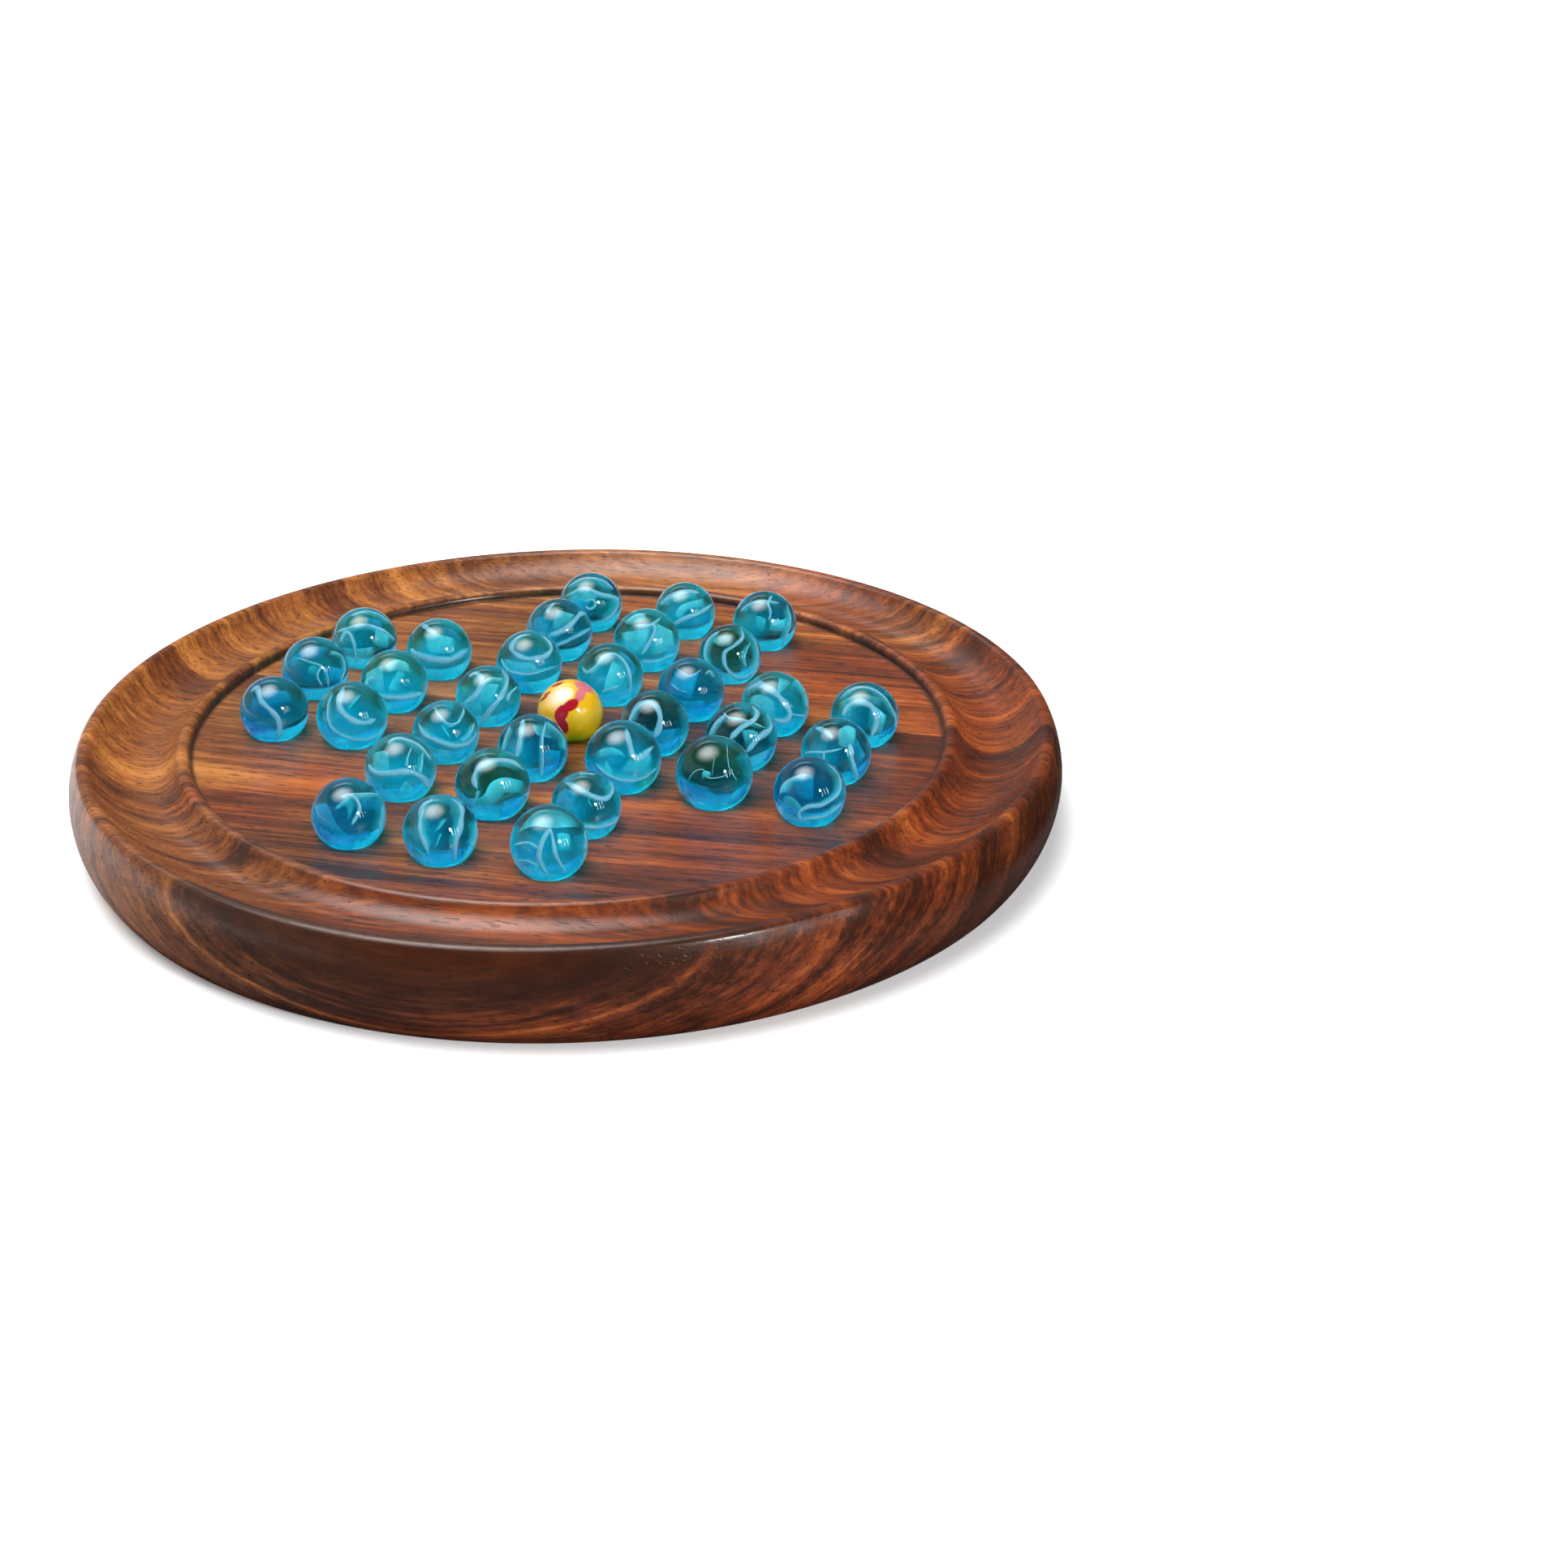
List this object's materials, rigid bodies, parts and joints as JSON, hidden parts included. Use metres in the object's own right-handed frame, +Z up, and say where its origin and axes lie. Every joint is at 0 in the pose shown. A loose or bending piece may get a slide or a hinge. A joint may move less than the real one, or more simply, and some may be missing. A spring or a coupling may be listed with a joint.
{
  "type": "marble solitaire board",
  "caption": "Round turned wooden solitaire board, a cross of dimple seats inside a raised bead and a marble gutter, with a loose glass marble in every seat.",
  "frame": {"origin": "centre of the board's underside, on the surface it stands on", "axes": "+Z up, rows of seats along X, columns of seats along Y"},
  "size_m": [0.2284, 0.2284, 0.0329],
  "materials": {
    "wood": "satin varnish",
    "blue_glass": "polished",
    "yellow_glass": "polished, opaque"
  },
  "bodies": {
    "board": {"board": "wood"},
    "marble_c1": {"marble_c1": "blue_glass"},
    "marble_d1": {"marble_d1": "blue_glass"},
    "marble_e1": {"marble_e1": "blue_glass"},
    "marble_c2": {"marble_c2": "blue_glass"},
    "marble_d2": {"marble_d2": "blue_glass"},
    "marble_e2": {"marble_e2": "blue_glass"},
    "marble_a3": {"marble_a3": "blue_glass"},
    "marble_b3": {"marble_b3": "blue_glass"},
    "marble_c3": {"marble_c3": "blue_glass"},
    "marble_d3": {"marble_d3": "blue_glass"},
    "marble_e3": {"marble_e3": "blue_glass"},
    "marble_f3": {"marble_f3": "blue_glass"},
    "marble_g3": {"marble_g3": "blue_glass"},
    "marble_a4": {"marble_a4": "blue_glass"},
    "marble_b4": {"marble_b4": "blue_glass"},
    "marble_c4": {"marble_c4": "blue_glass"},
    "marble_d4": {"marble_d4": "yellow_glass"},
    "marble_e4": {"marble_e4": "blue_glass"},
    "marble_f4": {"marble_f4": "blue_glass"},
    "marble_g4": {"marble_g4": "blue_glass"},
    "marble_a5": {"marble_a5": "blue_glass"},
    "marble_b5": {"marble_b5": "blue_glass"},
    "marble_c5": {"marble_c5": "blue_glass"},
    "marble_d5": {"marble_d5": "blue_glass"},
    "marble_e5": {"marble_e5": "blue_glass"},
    "marble_f5": {"marble_f5": "blue_glass"},
    "marble_g5": {"marble_g5": "blue_glass"},
    "marble_c6": {"marble_c6": "blue_glass"},
    "marble_d6": {"marble_d6": "blue_glass"},
    "marble_e6": {"marble_e6": "blue_glass"},
    "marble_c7": {"marble_c7": "blue_glass"},
    "marble_d7": {"marble_d7": "blue_glass"},
    "marble_e7": {"marble_e7": "blue_glass"}
  },
  "joints": [
    {"name": "lift_c1", "type": "slide", "parent": "board", "child": "marble_c1", "axis": [0, 0, 1], "range_m": [0, 0.04]},
    {"name": "lift_d1", "type": "slide", "parent": "board", "child": "marble_d1", "axis": [0, 0, 1], "range_m": [0, 0.04]},
    {"name": "lift_e1", "type": "slide", "parent": "board", "child": "marble_e1", "axis": [0, 0, 1], "range_m": [0, 0.04]},
    {"name": "lift_c2", "type": "slide", "parent": "board", "child": "marble_c2", "axis": [0, 0, 1], "range_m": [0, 0.04]},
    {"name": "lift_d2", "type": "slide", "parent": "board", "child": "marble_d2", "axis": [0, 0, 1], "range_m": [0, 0.04]},
    {"name": "lift_e2", "type": "slide", "parent": "board", "child": "marble_e2", "axis": [0, 0, 1], "range_m": [0, 0.04]},
    {"name": "lift_a3", "type": "slide", "parent": "board", "child": "marble_a3", "axis": [0, 0, 1], "range_m": [0, 0.04]},
    {"name": "lift_b3", "type": "slide", "parent": "board", "child": "marble_b3", "axis": [0, 0, 1], "range_m": [0, 0.04]},
    {"name": "lift_c3", "type": "slide", "parent": "board", "child": "marble_c3", "axis": [0, 0, 1], "range_m": [0, 0.04]},
    {"name": "lift_d3", "type": "slide", "parent": "board", "child": "marble_d3", "axis": [0, 0, 1], "range_m": [0, 0.04]},
    {"name": "lift_e3", "type": "slide", "parent": "board", "child": "marble_e3", "axis": [0, 0, 1], "range_m": [0, 0.04]},
    {"name": "lift_f3", "type": "slide", "parent": "board", "child": "marble_f3", "axis": [0, 0, 1], "range_m": [0, 0.04]},
    {"name": "lift_g3", "type": "slide", "parent": "board", "child": "marble_g3", "axis": [0, 0, 1], "range_m": [0, 0.04]},
    {"name": "lift_a4", "type": "slide", "parent": "board", "child": "marble_a4", "axis": [0, 0, 1], "range_m": [0, 0.04]},
    {"name": "lift_b4", "type": "slide", "parent": "board", "child": "marble_b4", "axis": [0, 0, 1], "range_m": [0, 0.04]},
    {"name": "lift_c4", "type": "slide", "parent": "board", "child": "marble_c4", "axis": [0, 0, 1], "range_m": [0, 0.04]},
    {"name": "lift_d4", "type": "slide", "parent": "board", "child": "marble_d4", "axis": [0, 0, 1], "range_m": [0, 0.04]},
    {"name": "lift_e4", "type": "slide", "parent": "board", "child": "marble_e4", "axis": [0, 0, 1], "range_m": [0, 0.04]},
    {"name": "lift_f4", "type": "slide", "parent": "board", "child": "marble_f4", "axis": [0, 0, 1], "range_m": [0, 0.04]},
    {"name": "lift_g4", "type": "slide", "parent": "board", "child": "marble_g4", "axis": [0, 0, 1], "range_m": [0, 0.04]},
    {"name": "lift_a5", "type": "slide", "parent": "board", "child": "marble_a5", "axis": [0, 0, 1], "range_m": [0, 0.04]},
    {"name": "lift_b5", "type": "slide", "parent": "board", "child": "marble_b5", "axis": [0, 0, 1], "range_m": [0, 0.04]},
    {"name": "lift_c5", "type": "slide", "parent": "board", "child": "marble_c5", "axis": [0, 0, 1], "range_m": [0, 0.04]},
    {"name": "lift_d5", "type": "slide", "parent": "board", "child": "marble_d5", "axis": [0, 0, 1], "range_m": [0, 0.04]},
    {"name": "lift_e5", "type": "slide", "parent": "board", "child": "marble_e5", "axis": [0, 0, 1], "range_m": [0, 0.04]},
    {"name": "lift_f5", "type": "slide", "parent": "board", "child": "marble_f5", "axis": [0, 0, 1], "range_m": [0, 0.04]},
    {"name": "lift_g5", "type": "slide", "parent": "board", "child": "marble_g5", "axis": [0, 0, 1], "range_m": [0, 0.04]},
    {"name": "lift_c6", "type": "slide", "parent": "board", "child": "marble_c6", "axis": [0, 0, 1], "range_m": [0, 0.04]},
    {"name": "lift_d6", "type": "slide", "parent": "board", "child": "marble_d6", "axis": [0, 0, 1], "range_m": [0, 0.04]},
    {"name": "lift_e6", "type": "slide", "parent": "board", "child": "marble_e6", "axis": [0, 0, 1], "range_m": [0, 0.04]},
    {"name": "lift_c7", "type": "slide", "parent": "board", "child": "marble_c7", "axis": [0, 0, 1], "range_m": [0, 0.04]},
    {"name": "lift_d7", "type": "slide", "parent": "board", "child": "marble_d7", "axis": [0, 0, 1], "range_m": [0, 0.04]},
    {"name": "lift_e7", "type": "slide", "parent": "board", "child": "marble_e7", "axis": [0, 0, 1], "range_m": [0, 0.04]}
  ]
}
